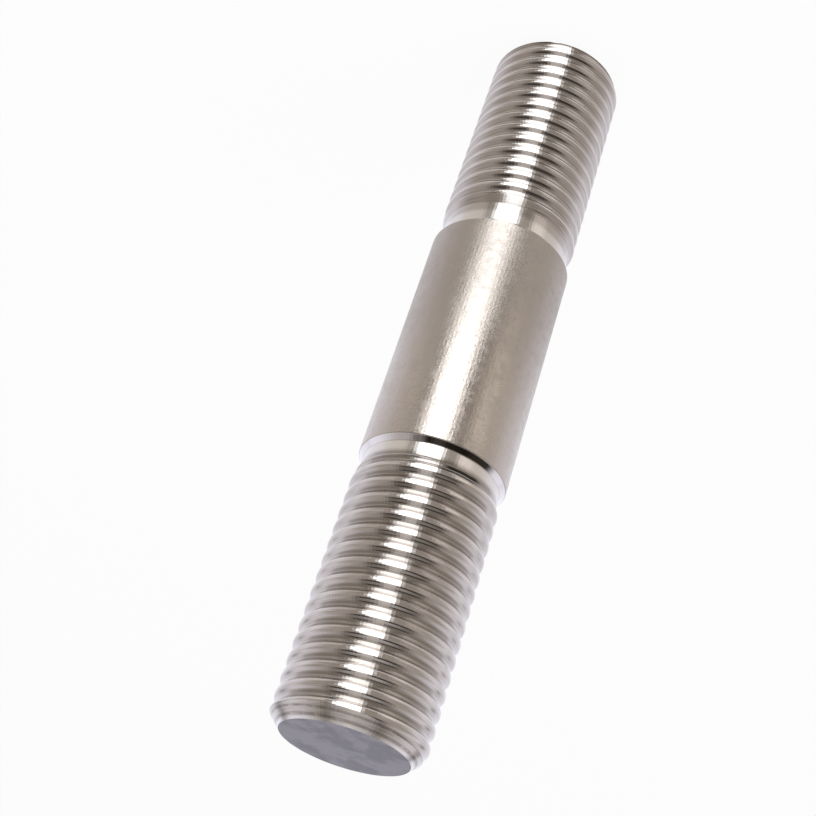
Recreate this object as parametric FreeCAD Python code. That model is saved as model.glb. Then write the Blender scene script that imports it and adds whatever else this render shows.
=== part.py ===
"""A double ended stud: a plain round shank with a rolled metric thread on each end.

The stud is one piece of steel. It stands on its flat lower end, with +Z along its axis and the
origin at the middle of that end. Lengths are in millimetres, angles in degrees.
"""
import FreeCAD, Part
import math
import os

# Shank, between its two conical shoulders
SHANK_DIAMETER = 22.0
SHANK_LENGTH = 39.2

# Thread, a coarse metric one, the same on both ends. Its crests are a little lower than the shank,
# and flats are left at the crest and at the root.
PITCH = 2.5
FLANK_ANGLE = 60.0
CREST_BELOW_SHANK = 0.2
CREST_WIDTH = 0.54
ROOT_WIDTH = 0.63

# Ends: the threaded length of each, and the radial depth of the 45 degree chamfer
UPPER_THREAD_LENGTH = 39.0
LOWER_THREAD_LENGTH = 36.9
END_CHAMFER = 1.8

# Plain necks between the threads and the shank, left at the size of the blank before rolling
UPPER_NECK_LENGTH = 2.0
LOWER_NECK_LENGTH = 3.3
SHOULDER_ANGLE = 45.0

# Over this length each thread fades into its neck, the crests falling and the roots rising
RUNOUT_LENGTH = 1.4

# Where the thread's crest crosses the -Y side: above the lower face, and below the upper face
LOWER_CREST_OFFSET = 1.04
UPPER_CREST_OFFSET = 0.36

# The roots come out of the blank this much before the crests reach the neck
ROOT_LEAD = 0.1

flank_slope = math.tan(math.radians(FLANK_ANGLE / 2))
shank_radius = SHANK_DIAMETER / 2
crest_radius = shank_radius - CREST_BELOW_SHANK
root_radius = crest_radius - (PITCH - CREST_WIDTH - ROOT_WIDTH) / 2 / flank_slope
# The pitch radius is where groove and ridge are equally wide, and the blank had that size
neck_radius = crest_radius - (PITCH / 2 - CREST_WIDTH) / 2 / flank_slope
end_flat_radius = crest_radius - END_CHAMFER
shoulder_length = (shank_radius - neck_radius) / math.tan(math.radians(SHOULDER_ANGLE))
# The groove cutter reaches out of the blank until half of the crest's width is left between turns
cutter_radius = crest_radius + CREST_WIDTH / 4 / flank_slope


def revolve(outline):
    """A solid of revolution about Z from (radius, height) points."""
    points = [FreeCAD.Vector(radius, 0, height) for radius, height in outline]
    wire = Part.makePolygon(points + points[:1])
    return Part.Face(wire).revolve(FreeCAD.Vector(0, 0, 0), FreeCAD.Vector(0, 0, 1), 360)


def helix(radius, height, half_turns):
    """A right-hand helix that starts on the -Y side at a height, as one edge for each half turn."""
    edges = []
    for number in range(half_turns):
        span = Part.makeHelix(PITCH, PITCH / 2, radius)
        span.rotate(FreeCAD.Vector(0, 0, 0), FreeCAD.Vector(0, 0, 1), 180 * number - 90)
        span.translate(FreeCAD.Vector(0, 0, height + PITCH / 2 * number))
        edges.append(span.Edges[0])
    return edges


def groove_half_width(radius):
    """Half the groove's width along the axis, where its flanks reach this radius."""
    return (PITCH - CREST_WIDTH) / 2 - (crest_radius - radius) * flank_slope


def groove_cutter(middle, half_turns):
    """The space between the turns of a thread, wound up from the -Y side at a height."""
    section = [
        (root_radius, -groove_half_width(root_radius)),
        (cutter_radius, -groove_half_width(cutter_radius)),
        (cutter_radius, groove_half_width(cutter_radius)),
        (root_radius, groove_half_width(root_radius)),
    ]
    helices = [helix(radius, middle + offset, half_turns) for radius, offset in section]
    same_direction = 1
    faces = []
    for corner, edges in enumerate(helices):
        following = helices[(corner + 1) % len(helices)]
        for edge, opposite in zip(edges, following):
            faces.append(Part.makeRuledSurface(edge, opposite, same_direction))
    start = [edges[0].Vertexes[0].Point for edges in helices]
    finish = [edges[-1].Vertexes[-1].Point for edges in helices]
    for corners in (start, finish):
        faces.append(Part.Face(Part.makePolygon(corners + corners[:1])))
    skin = Part.makeCompound(faces)
    skin.sewShape()
    cutter = Part.Solid(skin.Shells[0])
    if cutter.Volume < 0:
        cutter.reverse()
    return cutter


def threaded_end(length, neck_length, crest_offset):
    """One end of the stud with its flat face at height 0, up to where the shoulder starts."""
    full_thread = length - RUNOUT_LENGTH
    neck_end = length + neck_length
    blank = revolve([
        (0, 0),
        (end_flat_radius, 0),
        (crest_radius, END_CHAMFER),
        (crest_radius, full_thread),
        (neck_radius, length),
        (neck_radius, neck_end),
        (0, neck_end),
    ])
    # The cone that lifts the roots out of the blank starts inside it and ends beyond the cutter
    rise = (neck_radius - root_radius) / (RUNOUT_LENGTH - ROOT_LEAD)
    cone_start = full_thread - RUNOUT_LENGTH
    cone_finish = length + PITCH * 3
    runout = revolve([
        (0, cone_start),
        (root_radius - RUNOUT_LENGTH * rise, cone_start),
        (root_radius + (cone_finish - full_thread) * rise, cone_finish),
        (0, cone_finish),
    ])
    first_groove = crest_offset - PITCH * 1.5
    half_turns = 2 * math.ceil((length - first_groove) / PITCH + 1)
    cutter = groove_cutter(first_groove, half_turns).cut(runout)
    return blank.cut(cutter)


def middle():
    """The shank with the conical shoulder at each of its ends, from height 0."""
    total = SHANK_LENGTH + 2 * shoulder_length
    return revolve([
        (0, 0),
        (neck_radius, 0),
        (shank_radius, shoulder_length),
        (shank_radius, shoulder_length + SHANK_LENGTH),
        (neck_radius, total),
        (0, total),
    ])


def stud():
    lower = threaded_end(LOWER_THREAD_LENGTH, LOWER_NECK_LENGTH, LOWER_CREST_OFFSET)
    shank = middle()
    shank.translate(FreeCAD.Vector(0, 0, LOWER_THREAD_LENGTH + LOWER_NECK_LENGTH))
    upper = threaded_end(UPPER_THREAD_LENGTH, UPPER_NECK_LENGTH, UPPER_CREST_OFFSET)
    # Turned end for end about Y, which keeps the thread right-handed and the -Y side in place
    upper.rotate(FreeCAD.Vector(0, 0, 0), FreeCAD.Vector(0, 1, 0), 180)
    height = (
        LOWER_THREAD_LENGTH + LOWER_NECK_LENGTH + SHANK_LENGTH + 2 * shoulder_length
        + UPPER_NECK_LENGTH + UPPER_THREAD_LENGTH
    )
    upper.translate(FreeCAD.Vector(0, 0, height))
    return lower.fuse([shank, upper]).removeSplitter()


os.makedirs("parts", exist_ok=True)
whole = stud()
whole.exportStep("parts/stud.step")
print("height", round(whole.BoundBox.ZLength, 3), "valid", whole.isValid(), "solids", len(whole.Solids),
      "faces", len(whole.Faces), "volume", round(whole.Volume, 1))
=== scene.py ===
"""A double ended stud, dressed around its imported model: the steel, its threads and the studio.

The stud stands on its lower end, with +Z along its axis. Lengths are in metres.
"""
import math

import bpy
from mathutils import Matrix, Vector


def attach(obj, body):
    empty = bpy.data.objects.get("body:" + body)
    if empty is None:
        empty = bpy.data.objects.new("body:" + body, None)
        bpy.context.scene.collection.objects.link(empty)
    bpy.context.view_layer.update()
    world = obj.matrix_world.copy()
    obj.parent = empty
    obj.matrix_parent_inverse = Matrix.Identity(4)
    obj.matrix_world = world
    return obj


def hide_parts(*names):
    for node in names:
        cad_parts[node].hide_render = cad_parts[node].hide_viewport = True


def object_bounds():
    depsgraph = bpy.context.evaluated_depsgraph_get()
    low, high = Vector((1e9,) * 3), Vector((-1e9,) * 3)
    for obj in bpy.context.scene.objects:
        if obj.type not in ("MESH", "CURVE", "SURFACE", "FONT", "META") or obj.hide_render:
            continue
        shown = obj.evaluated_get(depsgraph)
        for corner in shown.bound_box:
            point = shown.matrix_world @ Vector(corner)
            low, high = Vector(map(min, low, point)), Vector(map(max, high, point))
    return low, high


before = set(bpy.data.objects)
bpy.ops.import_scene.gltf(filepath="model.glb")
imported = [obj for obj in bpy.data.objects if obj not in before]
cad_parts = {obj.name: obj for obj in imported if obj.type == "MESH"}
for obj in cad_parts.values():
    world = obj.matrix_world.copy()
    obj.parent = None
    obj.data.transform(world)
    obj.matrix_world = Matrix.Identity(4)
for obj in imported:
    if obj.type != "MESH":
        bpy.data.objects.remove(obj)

bl_info = {
    "name": "Double ended stud",
    "version": (1, 0, 0),
    "blender": (4, 5, 0),
    "location": "3D View > Sidebar > Stud",
    "description": "Makes a polished steel stud with a rolled thread on each end, and its studio",
    "category": "Object",
}

CAD_LOW, CAD_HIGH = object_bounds()
MM = 0.001
BODY = "root"


# Settings

def length(name, description, default, smallest=0.0):
    """A property that holds a length in metres."""
    return bpy.props.FloatProperty(
        name=name, description=description, default=default, min=smallest,
        subtype="DISTANCE", unit="LENGTH", precision=5)


def degrees(name, description, default):
    """A property that holds an angle, whose default is given in degrees."""
    return bpy.props.FloatProperty(
        name=name, description=description, default=math.radians(default), subtype="ANGLE", unit="ROTATION")


def share(name, description, default):
    """A property that holds a number from 0 to 1."""
    return bpy.props.FloatProperty(
        name=name, description=description, default=default, min=0.0, max=1.0, precision=3)


def colour(name, description, default):
    """A property that holds a linear colour."""
    return bpy.props.FloatVectorProperty(
        name=name, description=description, default=default, size=3, min=0.0, max=4.0, subtype="COLOR")


class StudSizes(bpy.types.PropertyGroup):
    shank_radius: length("Shank radius", "Radius of the plain middle", CAD_HIGH.x)
    crest_drop: length("Crest drop", "How far the crests lie below the shank", 0.2 * MM)
    pitch: length("Pitch", "Distance from one crest to the next", 2.5 * MM, 0.5 * MM)
    flank_angle: degrees("Flank angle", "Angle between the two flanks of a groove", 90)
    crest_width: length("Crest width", "Width of the flat on each crest, before it is rounded", 0.74 * MM)
    root_rounding: length("Root rounding", "Radius of the rounded bottom of the groove", 0.7 * MM)
    crest_rounding: length("Crest rounding", "Radius of the edges of a crest", 0.5 * MM)
    lower_thread: length("Lower thread", "Threaded length of the lower end", 36.9 * MM)
    upper_thread: length("Upper thread", "Threaded length of the upper end", 39.0 * MM)
    neck_radius: length("Neck radius", "Radius of the necks, the size of the blank before rolling", 10.185 * MM)
    lower_neck: length("Lower neck", "Plain length between the lower thread and its shoulder", 3.3 * MM)
    upper_neck: length("Upper neck", "Plain length between the upper thread and its shoulder", 2.0 * MM)
    runout: length("Run-out", "Length over which a thread fades into its neck", 1.4 * MM)
    end_chamfer: length("End chamfer", "Depth and width of the chamfer at each end", 1.8 * MM)
    lower_crest: length("Lower crest", "Height of a crest on the -Y side above the lower face", 0.76 * MM)
    upper_crest: length("Upper crest", "Depth of a crest on the -Y side below the upper face", 2.06 * MM)
    shoulder_rounding: length("Shoulder rounding", "Radius of the edges of the shoulders", 0.15 * MM)
    segments: bpy.props.IntProperty(
        name="Segments", description="Facets around the stud", default=128, min=24, max=160)


class SteelFinish(bpy.types.PropertyGroup):
    steel: colour("Steel", "Bright clean steel", (0.66, 0.63, 0.61))
    soiled: colour("Soiled steel", "Steel under the thin grey soil", (0.4, 0.37, 0.34))
    # The shank's darker warm tone is partly its satin steel and partly painted shade, with more painted shade
    # towards its lower end
    shank_upper_shaded: colour("Upper shank", "Drawn steel near the shank's upper edge", (0.57, 0.525, 0.48))
    shank_lower_shaded: colour("Lower shank", "Drawn steel of the rest of the shank", (0.51, 0.47, 0.43))
    # Painted shade in the grooves of the threads, strongest on the front
    groove: colour("Groove", "Soil in the worn grooves", (0.4, 0.37, 0.34))
    # The necks are painted lighter than the steel: a painted highlight
    neck: colour("Neck", "Plain necks beside the shank", (0.8, 0.78, 0.75))
    # The shoulders are painted lighter than the steel: a painted highlight
    shoulder: colour("Shoulder", "Turned shoulders of the shank", (0.9, 0.89, 0.92))
    # A black stroke of painted dark reflection on the shoulders and the last groove
    scale: colour("Scale", "Black stroke on the front of the shoulders", (0.06, 0.052, 0.045))
    # Painted highlight on the edge between chamfer and end face
    rim_highlight: colour("Rim", "Bare edge between chamfer and end face", (0.98, 0.97, 0.99))
    # Rings of painted dark reflection on the chamfers
    dark_reflection_rings: colour("Tool rings", "Dark rings that the tool left on the chamfers", (0.2, 0.18, 0.16))
    # Painted contact shadow at the bottom of the stud
    foot_shadow: colour("Foot", "Darkened foot of the stud", (0.22, 0.21, 0.2))
    end_face: colour("End face", "Duller steel of the end faces", (0.47, 0.46, 0.5))
    face_stain: colour("End face stain", "Clouds of stain on the end faces", (0.33, 0.32, 0.36))
    roughness: share("Roughness", "Roughness of the clean polished steel", 0.13)
    face_roughness: share("End face roughness", "Roughness of the end faces", 0.36)
    scratch_depth: share("Scratch depth", "Strength of the fine scratches", 0.06)
    pit_depth: share("Pit depth", "Strength of the small pits", 0.12)


class StudioSettings(bpy.types.PropertyGroup):
    floor_colour: colour("Floor", "Colour of the floor", (0.95, 0.95, 0.95))
    floor_size: length("Floor size", "Width of the floor", 4.0)
    lens: bpy.props.FloatProperty(
        name="Lens", description="Focal length on a 36 mm sensor", default=61.33, min=10.0, max=300.0)
    camera_distance: length("Camera distance", "From the stud's axis, level with it", 177.57 * MM)
    camera_rise: length("Camera rise", "Height of the camera above the upper end", 51.14 * MM)
    aim_azimuth: degrees("Aim azimuth", "Turn of the camera's aim from +Y towards +X", 2.043)
    aim_drop: degrees("Aim drop", "How far the camera looks down", 29.925)
    roll: degrees("Roll", "Turn of the camera about its aim, which lays the stud across the picture", -161.2)
    lamp_power: bpy.props.FloatProperty(
        name="Lamp power", description="Power of the soft lamp", default=1.6, min=0.0,
        subtype="POWER", unit="POWER")
    lamp_width: length("Lamp width", "Width of the soft lamp", 0.5)
    lamp_place: bpy.props.FloatVectorProperty(
        name="Lamp place", description="Where the soft lamp stands", default=(-0.35, -0.3, 0.6), size=3,
        subtype="TRANSLATION", unit="LENGTH")


# Node trees written as expressions

class Wire:
    """An output socket of a node. Python's operators on it add Math nodes to its tree."""

    def __init__(self, tree, socket):
        self.tree = tree
        self.socket = socket

    def math(self, operation, *inputs):
        return self.tree.wire("ShaderNodeMath", {"operation": operation}, dict(enumerate(inputs)))

    def __add__(self, other):
        return self.math("ADD", self, other)

    def __radd__(self, other):
        return self.math("ADD", other, self)

    def __sub__(self, other):
        return self.math("SUBTRACT", self, other)

    def __rsub__(self, other):
        return self.math("SUBTRACT", other, self)

    def __mul__(self, other):
        return self.math("MULTIPLY", self, other)

    def __rmul__(self, other):
        return self.math("MULTIPLY", other, self)

    def __truediv__(self, other):
        return self.math("DIVIDE", self, other)

    def __rtruediv__(self, other):
        return self.math("DIVIDE", other, self)

    def __neg__(self):
        return self.math("MULTIPLY", self, -1.0)

    def __gt__(self, other):
        return self.math("GREATER_THAN", self, other)

    def __lt__(self, other):
        return self.math("LESS_THAN", self, other)

    def floor(self):
        return self.math("FLOOR", self)

    def sin(self):
        return self.math("SINE", self)

    def cos(self):
        return self.math("COSINE", self)

    def atan2(self, other):
        return self.math("ARCTAN2", self, other)

    def least(self, other):
        return self.math("MINIMUM", self, other)

    def most(self, other):
        return self.math("MAXIMUM", self, other)

    def root(self):
        return self.math("POWER", self, 0.5)

    def absolute(self):
        return self.math("ABSOLUTE", self)

    def smooth(self, start, end):
        """0 at the start and before it, 1 at the end and beyond it. The start may be the higher number."""
        return self.tree.wire(
            "ShaderNodeMapRange", {"interpolation_type": "SMOOTHSTEP"},
            {"Value": self, "From Min": start, "From Max": end})

    def between(self, start, full, fading, end):
        """1 from full to fading, and 0 outside start and end."""
        return self.smooth(start, full) * self.smooth(end, fading)

    def near(self, middle, inner, outer):
        """1 up to the inner distance from the middle, and 0 from the outer distance on."""
        return (self - middle).absolute().smooth(outer, inner)


def blend(first, second, part):
    """The first value where part is 0, and the second where it is 1."""
    return first + (second - first) * part


class Tree:
    """A node tree that is written as expressions."""

    def __init__(self, node_tree):
        self.node_tree = node_tree
        node_tree.nodes.clear()

    def node(self, kind, settings=None, inputs=None):
        """Adds a node: its settings come first, then a value or a wire for each of its sockets."""
        made = self.node_tree.nodes.new(kind)
        for name, value in (settings or {}).items():
            setattr(made, name, value)
        for key, value in (inputs or {}).items():
            if isinstance(value, Wire):
                self.node_tree.links.new(value.socket, made.inputs[key])
            else:
                made.inputs[key].default_value = value
        return made

    def wire(self, kind, settings=None, inputs=None, output=0):
        """Adds a node and gives one of its outputs."""
        return Wire(self, self.node(kind, settings, inputs).outputs[output])

    def vector(self, x, y, z):
        return self.wire("ShaderNodeCombineXYZ", None, {0: x, 1: y, 2: z})

    def parts(self, vector):
        split = self.node("ShaderNodeSeparateXYZ", None, {0: vector})
        return [Wire(self, output) for output in split.outputs]

    def rgba(self, paint):
        return paint if isinstance(paint, Wire) else (*paint[:3], 1.0)

    def mix_colour(self, factor, first, second):
        return self.wire(
            "ShaderNodeMix", {"data_type": "RGBA"},
            {"Factor": factor, 6: self.rgba(first), 7: self.rgba(second)}, 2)

    def painted(self, ground, *coats):
        """The ground under coats of paint, each given as where it lies and its colour."""
        for where, paint in coats:
            ground = self.mix_colour(where, ground, paint)
        return ground

    def brighter(self, paint, times):
        return self.wire(
            "ShaderNodeVectorMath", {"operation": "MULTIPLY"}, {0: paint, 1: (times, times, times)})

    def noise(self, place, scale, detail, rough=0.5):
        return self.wire(
            "ShaderNodeTexNoise", {"noise_dimensions": "3D"},
            {"Vector": place, "Scale": scale, "Detail": detail, "Roughness": rough}, "Fac")

    def seen_by_camera(self):
        return self.wire("ShaderNodeLightPath", None, None, "Is Camera Ray")


# Shape of the stud

# The thread's profile starts below the end face by the first number of turns, and is longer than the
# thread by the second, so that it reaches past both ends
TURNS_BELOW_FACE = 2.5
SPARE_TURNS = 4.0
# Facets of a rounded root, of a crest's edge and of a shoulder's edge
ROOT_FACETS = 6.0
CREST_FACETS = 2.0
SHOULDER_FACETS = 5
# The profile has more rows in the first turns and in the last ones, where cones cut across it
FINE_ROWS = 4
FINE_TURNS_AT_FACE = 1.3
FINE_TURNS_AT_NECK = 1.8
END_FACE_RINGS = 6
MERGE_DISTANCE = 0.004 * MM
SHARPEST_SMOOTH_EDGE = math.radians(9)


class StudTree(Tree):
    """The Geometry Nodes tree that turns the stud: profiles swept round the axis, with a lead if threaded."""

    def __init__(self, sizes):
        super().__init__(bpy.data.node_groups.new("Turned and threaded stud", "GeometryNodeTree"))
        interface = self.node_tree.interface
        self.inputs = self.node("NodeGroupInput")
        for name, value in sizes.items():
            socket = "NodeSocketInt" if isinstance(value, int) else "NodeSocketFloat"
            interface.new_socket(name, in_out="INPUT", socket_type=socket)
        interface.new_socket("Stud", in_out="OUTPUT", socket_type="NodeSocketGeometry")

    def size(self, name):
        return Wire(self, self.inputs.outputs[name])

    def index(self):
        return self.wire("GeometryNodeInputIndex")

    def choose(self, number, values):
        """The value whose place in the list is the number."""
        chosen = values[0]
        for place, value in enumerate(values[1:], 1):
            here = number > place - 0.5
            chosen = here * value + (1.0 - here) * chosen
        return chosen

    def line_of_points(self, count, radius, height):
        """A curve of straight runs, each of whose points is given by fields on its index."""
        line = self.wire("GeometryNodeCurvePrimitiveLine", {"mode": "POINTS"})
        points = self.wire("GeometryNodeResampleCurve", {"mode": "COUNT"}, {"Curve": line, "Count": count})
        place = self.vector(radius, 0.0, height)
        return self.wire("GeometryNodeSetPosition", None, {"Geometry": points, "Position": place})

    def fillet(self, curve, radius, count):
        return self.wire(
            "GeometryNodeFilletCurve", {"mode": "POLY"},
            {"Curve": curve, "Count": count, "Radius": radius, "Limit Radius": True})

    def point(self, profile, number):
        """(radius, height) of a point of the profile."""
        place = self.wire(
            "GeometryNodeSampleIndex", {"data_type": "FLOAT_VECTOR", "domain": "POINT", "clamp": True},
            {"Geometry": profile, "Value": self.wire("GeometryNodeInputPosition"), "Index": number})
        radius, _, height = self.parts(place)
        return radius, height

    def turning(self, profile, lead=0.0, fine=None):
        """(sheet, angle, radius, height): its rows are the profile's points, and its columns go round.

        The first column is on the -Y side, and each turn of the sheet climbs by the lead. With fine, each
        run of the profile gets several rows. Where fine(height) is 0 they fold onto the run's start, to be
        merged.
        """
        cuts = FINE_ROWS if fine else 1
        points = self.wire("GeometryNodeAttributeDomainSize", {"component": "CURVE"}, {0: profile})
        rows = (points - 1.0) * cuts + 1.0
        segments = self.size("Segments")
        sheet = self.wire(
            "GeometryNodeMeshGrid", None, {"Vertices X": segments + 1.0, "Vertices Y": rows})
        column = (self.index() / rows).floor()
        row = (self.index() - column * rows) / cuts
        start = row.floor()
        turn = column / segments
        radius, height = self.point(profile, start)
        height = height + turn * lead
        if fine:
            next_radius, next_height = self.point(profile, start + 1.0)
            part_of_run = (row - start) * fine(height)
            radius = blend(radius, next_radius, part_of_run)
            height = blend(height, next_height + turn * lead, part_of_run)
        return sheet, turn * math.tau - math.pi / 2, radius, height

    def bend(self, sheet, angle, radius, height):
        """The sheet wrapped round the axis."""
        place = self.vector(radius * angle.cos(), radius * angle.sin(), height)
        return self.wire("GeometryNodeSetPosition", None, {"Geometry": sheet, "Position": place})

    def join(self, *pieces):
        joined = self.node("GeometryNodeJoinGeometry")
        for piece in pieces:
            self.node_tree.links.new(piece.socket, joined.inputs[0])
        return Wire(self, joined.outputs[0])


def thread(tree, thread_length, crest_offset):
    """The thread of one end from its chamfer, at height 0, up to where its neck starts."""
    pitch = tree.size("Pitch")
    crest = tree.size("Crest radius")
    crest_width = tree.size("Crest width")
    groove_width = pitch - crest_width
    sharp_root = crest - groove_width / 2.0 / tree.size("Flank slope")

    # Sharp profile: one point at the bottom of each groove, and two at the edges of each crest
    points_a_turn = 3.0
    turns = (thread_length / pitch).floor() + SPARE_TURNS
    number = tree.index()
    turn = (number / points_a_turn).floor()
    corner = number - turn * points_a_turn
    on_crest = corner > 0.5
    after_crest = corner > 1.5
    height = (
        crest_offset + (turn - TURNS_BELOW_FACE) * pitch
        + on_crest * groove_width / 2.0 + after_crest * crest_width
    )
    sharp = tree.line_of_points(turns * points_a_turn, blend(sharp_root, crest, on_crest), height)
    rounding = blend(tree.size("Crest rounding"), tree.size("Root rounding"), 1.0 - on_crest)
    rounded = tree.fillet(sharp, rounding, ROOT_FACETS - on_crest * (ROOT_FACETS - CREST_FACETS))

    def fine(level):
        at_face = level < pitch * FINE_TURNS_AT_FACE
        at_neck = level > thread_length - pitch * FINE_TURNS_AT_NECK
        return at_face.most(at_neck)

    sheet, angle, radius, height = tree.turning(rounded, pitch, fine)

    # The chamfer at the face, then the cones that lower the crests and lift the roots into the neck
    height = height.most(0.0).least(thread_length)
    flat = crest - tree.size("End chamfer")
    neck = tree.size("Neck radius")
    root = sharp_root + tree.size("Root rounding") * tree.size("Root lift")
    fade = (1.0 - (thread_length - height) / tree.size("Run-out")).most(0.0)
    radius = radius.least(flat + height)
    radius = radius.least(blend(crest, neck, fade))
    radius = radius.most(blend(root, neck, fade) * (fade > 0.0))
    return tree.bend(sheet, angle, radius, height)


def end_face(tree):
    """The flat face of an end, at height 0."""
    flat = tree.size("Crest radius") - tree.size("End chamfer")
    profile = tree.line_of_points(END_FACE_RINGS + 1, flat * tree.index() / END_FACE_RINGS, 0.0)
    return tree.bend(*tree.turning(profile))


def threaded_end(tree, side):
    """The lower or the upper end, standing on its face."""
    skin = thread(tree, tree.size(side + " thread"), tree.size(side + " crest"))
    return tree.join(skin, end_face(tree))


def plain_middle(tree):
    """The shank, its two shoulders and the necks beside them."""
    neck = tree.size("Neck radius")
    shank = tree.size("Shank radius")
    step = shank - neck
    low = tree.size("Lower thread")
    high = tree.size("Total length") - tree.size("Upper thread")
    low_shoulder = low + tree.size("Lower neck")
    high_shoulder = high - tree.size("Upper neck")
    heights = [low, low_shoulder, low_shoulder + step, high_shoulder - step, high_shoulder, high]
    radii = [neck, neck, shank, shank, neck, neck]
    number = tree.index()
    profile = tree.line_of_points(len(heights), tree.choose(number, radii), tree.choose(number, heights))
    profile = tree.fillet(profile, tree.size("Shoulder rounding"), SHOULDER_FACETS)
    return tree.bend(*tree.turning(profile))


def stud_tree(sizes, steel):
    """The whole stud as one closed skin."""
    tree = StudTree(sizes)
    lower = threaded_end(tree, "Lower")
    upper = tree.wire(
        "GeometryNodeTransform", None,
        {"Geometry": threaded_end(tree, "Upper"),
         "Translation": tree.vector(0.0, 0.0, tree.size("Total length")),
         "Rotation": (0.0, math.pi, 0.0)})
    skin = tree.join(lower, plain_middle(tree), upper)
    skin = tree.wire("GeometryNodeMergeByDistance", None, {"Geometry": skin, "Distance": MERGE_DISTANCE})
    edge_angle = tree.wire("GeometryNodeInputMeshEdgeAngle")
    skin = tree.wire(
        "GeometryNodeSetShadeSmooth", {"domain": "EDGE"},
        {"Geometry": skin, "Shade Smooth": edge_angle < SHARPEST_SMOOTH_EDGE})
    skin = tree.wire("GeometryNodeRealizeInstances", None, {"Geometry": skin})
    skin = tree.wire("GeometryNodeSetMaterial", None, {"Geometry": skin, "Material": steel})
    tree.node("NodeGroupOutput", None, {"Stud": skin})
    return tree.node_tree


def stud_sizes(settings):
    """The tree's inputs, worked out from the settings."""
    return {
        "Pitch": settings.pitch,
        "Flank slope": math.tan(settings.flank_angle / 2),
        # How far a rounded root lies above the sharp one, for each unit of its radius
        "Root lift": 1 / math.sin(settings.flank_angle / 2) - 1,
        "Crest radius": settings.shank_radius - settings.crest_drop,
        "Crest width": settings.crest_width,
        "Crest rounding": settings.crest_rounding,
        "Root rounding": settings.root_rounding,
        "Neck radius": settings.neck_radius,
        "Shank radius": settings.shank_radius,
        "Total length": CAD_HIGH.z,
        "Lower thread": settings.lower_thread,
        "Upper thread": settings.upper_thread,
        "Lower neck": settings.lower_neck,
        "Upper neck": settings.upper_neck,
        "Run-out": settings.runout,
        "End chamfer": settings.end_chamfer,
        "Lower crest": settings.lower_crest,
        "Upper crest": settings.upper_crest,
        "Shoulder rounding": settings.shoulder_rounding,
        "Segments": settings.segments,
    }


def made_by_tree(name, node_tree, values):
    """A plain mesh object with what the tree makes from these values."""
    maker = bpy.data.objects.new(name, bpy.data.meshes.new(name))
    bpy.context.scene.collection.objects.link(maker)
    modifier = maker.modifiers.new("Turning", "NODES")
    modifier.node_group = node_tree
    for item in node_tree.interface.items_tree:
        if item.in_out == "INPUT":
            modifier[item.identifier] = values[item.name]
    bpy.context.view_layer.update()
    evaluated = maker.evaluated_get(bpy.context.evaluated_depsgraph_get())
    mesh = bpy.data.meshes.new_from_object(evaluated)
    maker.modifiers.remove(modifier)
    mesh.name = name
    maker.data = mesh
    if not mesh.polygons:
        raise RuntimeError(name + " came out empty")
    return maker


# Finish of the steel, with its painted light and shade

# Scales of the noises, from the broadest to the finest: clouds are about 4 mm wide, the grain 0.1 mm
CLOUDS, PATCHES, PITS, RIPPLES, GRAIN = 260.0, 900.0, 1500.0, 2300.0, 9000.0
# Scratches, as the angle of each set to the axis in degrees and the seed that sets it apart
SCRATCHES = ((28, 3.0), (-41, 17.0), (74, 31.0))
BUMP_STRENGTH = 0.35
BUMP_DEPTH = 0.02 * MM
# How much brighter the painted highlight makes the front of the crests
CREST_HIGHLIGHT = 1.13


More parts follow.
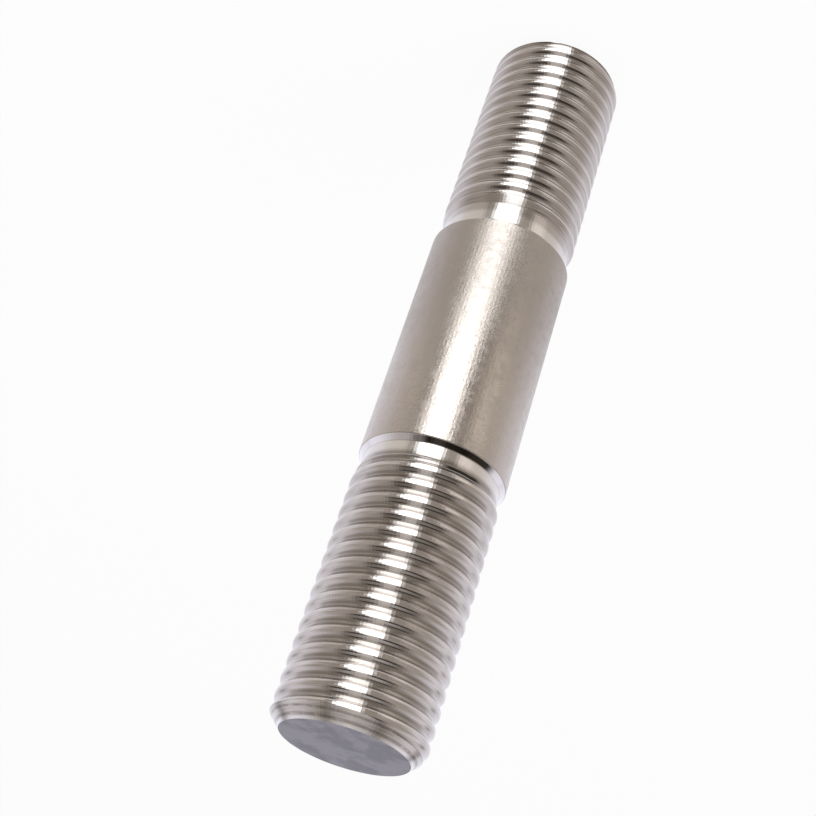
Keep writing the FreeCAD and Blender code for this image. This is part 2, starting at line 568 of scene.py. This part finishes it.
class SteelTree(Tree):
    """The steel's shader tree, with where each point lies on the stud.

    Lengths are in millimetres. Turns are in degrees round the axis, from the -Y side towards +X.
    """

    def __init__(self, node_tree, sizes):
        super().__init__(node_tree)
        self.place = self.wire("ShaderNodeTexCoord", None, None, "Object")
        x, y, z = self.parts(self.place)
        self.angle = x.atan2(-y)
        self.turn = self.angle * math.degrees(1)
        self.level = z / MM
        self.reach = (x * x + y * y).root() / MM
        # Follows the thread: the same all along one groove
        self.thread_level = self.level - self.angle * (sizes["Pitch"] / MM) / math.tau
        self.around = self.angle * (sizes["Shank radius"] / MM)

        # How far a point lies from the axis tells shank, crests and grooves apart
        above_crest = self.reach - sizes["Crest radius"] / MM
        from_flat = self.reach - (sizes["Crest radius"] - sizes["End chamfer"]) / MM
        below_end = z.least(sizes["Total length"] - z) / MM
        normal_z = self.parts(self.wire("ShaderNodeNewGeometry", None, None, "Normal"))[2]
        self.on_face = normal_z.absolute().smooth(0.9, 0.98)
        off_face = 1.0 - self.on_face
        self.on_shank = above_crest.smooth(0.06, 0.14)
        self.off_shank = 1.0 - self.on_shank
        self.on_crest = above_crest.smooth(-0.25, -0.08) * self.off_shank
        off_chamfer = (from_flat - below_end).smooth(-0.05, -0.5)
        self.in_groove = above_crest.smooth(-0.35, -0.6) * off_face * off_chamfer
        self.in_middle = self.level.between(38, 39, 82, 83)
        self.on_neck = self.in_middle * above_crest.smooth(-0.5, -0.58)
        self.on_shoulder = self.in_middle * above_crest.smooth(-0.58, -0.5) * self.off_shank
        on_chamfer = (from_flat - below_end).near(0.0, 0.05, 0.2) * off_face
        self.on_rim = on_chamfer * from_flat.near(0.12, 0.1, 0.24)
        self.on_rings = on_chamfer * (from_flat.near(0.55, 0.08, 0.2) + from_flat.near(1.3, 0.06, 0.18))
        # The front of the shoulders, and the groove next to the upper neck, where a black stroke of painted
        # dark reflection goes on
        front_of_shoulder = self.on_shoulder * self.turn.between(-52, -40, 10, 18)
        last_groove = self.thread_level.near(83.72, 0.15, 0.32) * self.turn.between(-44, -34, -12, -6)
        self.painted_dark_stroke = (front_of_shoulder + last_groove).least(1.0)

        self.clouds = self.noise(self.place, CLOUDS, 3.0, 0.6)
        self.patches = self.noise(self.place, PATCHES, 2.0)
        self.grain = self.noise(self.place, GRAIN, 2.0, 0.6)
        pits = self.wire(
            "ShaderNodeTexVoronoi", {"feature": "F1"}, {"Vector": self.place, "Scale": PITS}, "Distance")
        self.pit = pits.smooth(0.22, 0.08) * self.patches.smooth(0.54, 0.66)
        self.crossing = sum(self.scratches(math.radians(lean), seed) for lean, seed in SCRATCHES)

    def scratches(self, lean, seed):
        """Thin lines that cross the stud at this angle to its axis."""
        along = self.level * math.cos(lean) + self.around * math.sin(lean)
        across = self.around * math.cos(lean) - self.level * math.sin(lean)
        lines = self.noise(self.vector(across * 9.0, along * 0.26, seed), 1.0, 1.0)
        return lines.smooth(0.66, 0.76)


def steel_roughness(tree, finish):
    """Polished threads, a satin shank that is duller towards its lower end, and dull end faces."""
    satin = 0.1 + tree.patches.smooth(0.4, 0.7) * 0.08 + tree.level.smooth(78, 46) * 0.15
    rough = (
        finish.roughness + tree.crossing * 0.05 + tree.clouds.smooth(0.45, 0.75) * 0.06 + tree.pit * 0.2
        + (tree.grain - 0.5) * 0.05 + tree.on_shank * satin + tree.in_groove * 0.05
    )
    return blend(rough, finish.face_roughness, tree.on_face)


def steel_colour(tree, finish):
    """Bright steel under its soil, then painted shade and highlight on the threads, painted highlight on the
    necks and shoulders, a painted dark stroke, and the ends with their painted highlight, painted dark
    reflections, painted shadow at the bottom and duller faces.
    """
    marks = tree.noise(
        tree.vector(tree.reach * 3.0, tree.thread_level * 11.0, tree.angle * 1.5), 1.0, 2.0)
    soil = (
        tree.clouds.smooth(0.35, 0.8) * 0.12 + tree.pit * 0.35
        + marks.smooth(0.5, 0.66) * 0.5 * tree.off_shank
    ).least(1.0)
    # The shank: partly satin steel, partly painted shade that darkens towards its lower end
    shank_steel_and_shade = tree.mix_colour(tree.level.smooth(75, 50), finish.shank_upper_shaded, finish.shank_lower_shaded)
    # The painted shade in the grooves and the painted highlight on the crests are strongest on the upper end,
    # and weakest round the back
    painted_light_and_shade = (0.35 + tree.level.smooth(45, 75) * 0.65) * (1.0 - tree.in_middle) * (
        1.0 - tree.turn.absolute().smooth(53, 62) * 0.8)
    steel = tree.painted(finish.steel, (soil, finish.soiled), (tree.on_shank, shank_steel_and_shade))
    return tree.painted(
        steel,
        # Painted highlight on the crests, and painted shade in the grooves
        (tree.on_crest * painted_light_and_shade, tree.brighter(steel, CREST_HIGHLIGHT)),
        (tree.in_groove * painted_light_and_shade, finish.groove),
        # Painted highlight on the necks
        (tree.on_neck, finish.neck),
        # Painted highlight on the shoulders
        (tree.on_shoulder, finish.shoulder),
        # Black stroke of painted dark reflection
        (tree.painted_dark_stroke, finish.scale),
        # Painted highlight on the edge of the end faces
        (tree.on_rim * 0.5, finish.rim_highlight),
        # Rings of painted dark reflection on the chamfers
        (tree.on_rings * (0.25 + tree.patches.smooth(0.3, 0.6) * 0.35), finish.dark_reflection_rings),
        # Painted contact shadow at the bottom of the stud
        (tree.level.smooth(2.5, 0.0) * 0.75, finish.foot_shadow),
        (tree.on_face, tree.mix_colour(tree.clouds.smooth(0.42, 0.62), finish.end_face, finish.face_stain)),
    )


def steel_relief(tree, finish):
    """The height of the fine grain, the ripples, the scratches and the pits."""
    ripples = tree.noise(tree.place, RIPPLES, 3.0, 0.6) * (0.6 + tree.on_shank * 4.0) * (1.0 - tree.on_face)
    return (
        (tree.grain - 0.5) * 0.25 + ripples
        - tree.crossing * finish.scratch_depth - tree.pit * finish.pit_depth
    )


def polished_steel(finish, sizes):
    """Bright polished steel with a satin shank: fine crossing scratches, small pits, cloudier patches, duller
    end faces, and painted light and shade.
    """
    material = bpy.data.materials.new("Polished steel")
    material.use_nodes = True
    tree = SteelTree(material.node_tree, sizes)
    bump = tree.wire(
        "ShaderNodeBump", None,
        {"Strength": BUMP_STRENGTH, "Distance": BUMP_DEPTH, "Height": steel_relief(tree, finish)})
    shader = tree.wire(
        "ShaderNodeBsdfPrincipled", None,
        {"Base Color": steel_colour(tree, finish), "Metallic": 1.0,
         "Roughness": steel_roughness(tree, finish), "Normal": bump})
    tree.node("ShaderNodeOutputMaterial", None, {"Surface": shader})
    return material


# Studio

WHITE = (1.0, 1.0, 1.0, 1.0)
SENSOR_WIDTH = 36.0
# How much of the floor is plain white to the camera. The rest is lit, and holds the shadow.
FLOOR_GLOW = 0.94


def floor_material(settings):
    """Pale paper that stays white in the camera and keeps the stud's shadow."""
    material = bpy.data.materials.new("Pale floor")
    material.use_nodes = True
    tree = Tree(material.node_tree)
    place = tree.wire("ShaderNodeTexCoord", None, None, "Object")
    fibres = tree.wire("ShaderNodeTexNoise", None, {"Vector": place, "Scale": 400.0, "Detail": 3.0}, "Fac")
    pale = tree.mix_colour(fibres * 0.04, settings.floor_colour, (0.92, 0.92, 0.92))
    paper = tree.wire("ShaderNodeBsdfPrincipled", None, {"Base Color": pale, "Roughness": 0.9})
    glow = tree.wire("ShaderNodeEmission", None, {"Color": WHITE, "Strength": 1.0})
    surface = tree.wire(
        "ShaderNodeMixShader", None, {0: tree.seen_by_camera() * FLOOR_GLOW, 1: paper, 2: glow})
    tree.node("ShaderNodeOutputMaterial", None, {"Surface": surface})
    return material


def make_floor(settings):
    half = settings.floor_size / 2
    mesh = bpy.data.meshes.new("floor")
    mesh.from_pydata(
        [(-half, -half, 0), (half, -half, 0), (half, half, 0), (-half, half, 0)], [], [(0, 1, 2, 3)])
    mesh.materials.append(floor_material(settings))
    floor = bpy.data.objects.new("floor", mesh)
    floor.visible_glossy = False
    bpy.context.scene.collection.objects.link(floor)


def tent_colour(tree):
    """The light tent by direction: z from -1 below to 1 above, and turns in degrees from -Y towards +X.

    Each coat is a cloth, lamp or gap of the tent, and lies over those before it.
    """
    x, y, z = tree.parts(tree.wire("ShaderNodeTexCoord", None, None, "Generated"))
    turn = x.atan2(-y) * math.degrees(1)
    aside = turn.absolute()
    # The front cloth reaches further round near the horizon and near the floor
    past_front = aside - z.smooth(-0.3, -0.05) * 14.0 - z.smooth(-0.55, -0.68) * 10.0
    # The roof opening is wider at its top
    past_opening = aside - z.smooth(0.78, 0.87) * 25.0
    opening = past_opening.smooth(68, 42) * z.between(0.42, 0.58, 0.88, 0.95)
    opening_colour = tree.mix_colour(z.smooth(0.78, 0.87), (0.055, 0.045, 0.04), (0.24, 0.21, 0.19))
    # The strip lamp is narrower above the horizon, and bright only in its lower half
    strip = turn.smooth(-9, -2) * (turn + z.smooth(-0.5, 0.3) * 14.0).smooth(40, 28) * z.smooth(-0.97, -0.9)
    return tree.painted(
        (0.42, 0.375, 0.34),  # front cloth, in shade
        (past_front.smooth(62, 108), (0.84, 0.81, 0.86)),  # side walls
        (past_front.smooth(112, 150), (0.98, 0.98, 1.07)),  # back wall
        (z.between(-0.41, -0.48, -0.6, -0.68) * aside.between(30, 42, 80, 112), (0.73, 0.67, 0.62)),  # ledge
        (z.smooth(-0.7, -0.8), (0.84, 0.81, 0.81)),  # table top
        (turn.between(-36, -27, 46, 58), (0.34, 0.3, 0.265)),  # gaps on both sides of the strip lamp
        (z.smooth(0.86, 0.93), (0.6, 0.57, 0.56)),  # roof
        (opening, opening_colour),
        (turn.between(-64, -56, -38, -31) * z.between(-0.4, -0.48, -0.61, -0.66), (1.05, 0.95, 0.88)),  # card
        (strip * z.smooth(-0.1, 0.6), (0.7, 0.65, 0.62)),
        (strip * z.smooth(0.5, -0.25), (3.2, 3.22, 3.28)),
        (y.smooth(0.52, 0.76) * z.smooth(0.2, 0.4), (0.19, 0.17, 0.178)),  # dark cloth high at the back
    )


def light_tent():
    """The room that the steel mirrors. The camera itself sees plain white instead."""
    world = bpy.data.worlds.new("Light tent")
    world.use_nodes = True
    bpy.context.scene.world = world
    tree = Tree(world.node_tree)
    mirrored = tree.wire("ShaderNodeBackground", None, {"Color": tent_colour(tree), "Strength": 1.0})
    white = tree.wire("ShaderNodeBackground", None, {"Color": WHITE, "Strength": 1.0})
    surface = tree.wire("ShaderNodeMixShader", None, {0: tree.seen_by_camera(), 1: mirrored, 2: white})
    tree.node("ShaderNodeOutputWorld", None, {"Surface": surface})


def soft_lamp(settings):
    """A large soft lamp above and to the side, for the shadow on the floor."""
    lamp = bpy.data.lights.new("Soft lamp", "AREA")
    lamp.shape = "DISK"
    lamp.size = settings.lamp_width
    lamp.energy = settings.lamp_power
    stand = bpy.data.objects.new("Soft lamp", lamp)
    place = Vector(settings.lamp_place)
    stand.location = place
    stand.rotation_mode = "QUATERNION"
    stand.rotation_quaternion = (-place).to_track_quat("-Z", "Y")
    stand.visible_glossy = False
    bpy.context.scene.collection.objects.link(stand)


def photo_camera(settings):
    """The camera at the photograph's viewing angle."""
    lens = bpy.data.cameras.new("Camera")
    lens.lens = settings.lens
    lens.sensor_width = SENSOR_WIDTH
    lens.clip_start = 0.01
    lens.clip_end = 20.0
    camera = bpy.data.objects.new("Camera", lens)
    level = math.cos(settings.aim_drop)
    aim = Vector((
        math.sin(settings.aim_azimuth) * level, math.cos(settings.aim_azimuth) * level,
        -math.sin(settings.aim_drop)))
    across = aim.cross(Vector((0, 0, 1))).normalized()
    upward = across.cross(aim)
    right = across * math.cos(settings.roll) + upward * math.sin(settings.roll)
    top = right.cross(aim)
    turned = Matrix((right, top, -aim)).transposed().to_4x4()
    place = Vector((0, -settings.camera_distance, CAD_HIGH.z + settings.camera_rise))
    camera.matrix_world = Matrix.Translation(place) @ turned
    bpy.context.scene.collection.objects.link(camera)
    bpy.context.scene.camera = camera


# Add-on

class STUD_OT_make_stud(bpy.types.Operator):
    """Turns and threads the stud from its sizes and gives it its steel."""

    bl_idname = "stud.make_stud"
    bl_label = "Make the stud"

    def execute(self, context):
        sizes = stud_sizes(context.scene.stud_sizes)
        steel = polished_steel(context.scene.steel_finish, sizes)
        stud = made_by_tree("threaded_stud", stud_tree(sizes, steel), sizes)
        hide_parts("stud")
        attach(stud, BODY)
        return {"FINISHED"}


class STUD_OT_make_studio(bpy.types.Operator):
    """Lays the pale floor and sets up the light and the camera."""

    bl_idname = "stud.make_studio"
    bl_label = "Make the studio"

    def execute(self, context):
        settings = context.scene.studio_settings
        make_floor(settings)
        light_tent()
        soft_lamp(settings)
        photo_camera(settings)
        context.scene.view_settings.view_transform = "Standard"
        return {"FINISHED"}


class STUD_PT_panel(bpy.types.Panel):
    """Lists the sizes, the finish and the studio, with the buttons that make them."""

    bl_idname = "STUD_PT_panel"
    bl_label = "Double ended stud"
    bl_space_type = "VIEW_3D"
    bl_region_type = "UI"
    bl_category = "Stud"

    def draw(self, context):
        scene = context.scene
        for group, maker in (
            (scene.stud_sizes, STUD_OT_make_stud),
            (scene.steel_finish, STUD_OT_make_stud),
            (scene.studio_settings, STUD_OT_make_studio),
        ):
            box = self.layout.box()
            for name in group.__annotations__:
                box.prop(group, name)
            box.operator(maker.bl_idname)


GROUPS = {
    "stud_sizes": StudSizes,
    "steel_finish": SteelFinish,
    "studio_settings": StudioSettings,
}
OTHER_CLASSES = (STUD_OT_make_stud, STUD_OT_make_studio, STUD_PT_panel)


def register():
    for name, group in GROUPS.items():
        bpy.utils.register_class(group)
        setattr(bpy.types.Scene, name, bpy.props.PointerProperty(type=group))
    for item in OTHER_CLASSES:
        bpy.utils.register_class(item)


def unregister():
    for item in reversed(OTHER_CLASSES):
        bpy.utils.unregister_class(item)
    for name, group in reversed(GROUPS.items()):
        delattr(bpy.types.Scene, name)
        bpy.utils.unregister_class(group)


def main():
    register()
    bpy.ops.stud.make_studio()
    bpy.ops.stud.make_stud()


if __name__ == "__main__":
    main()
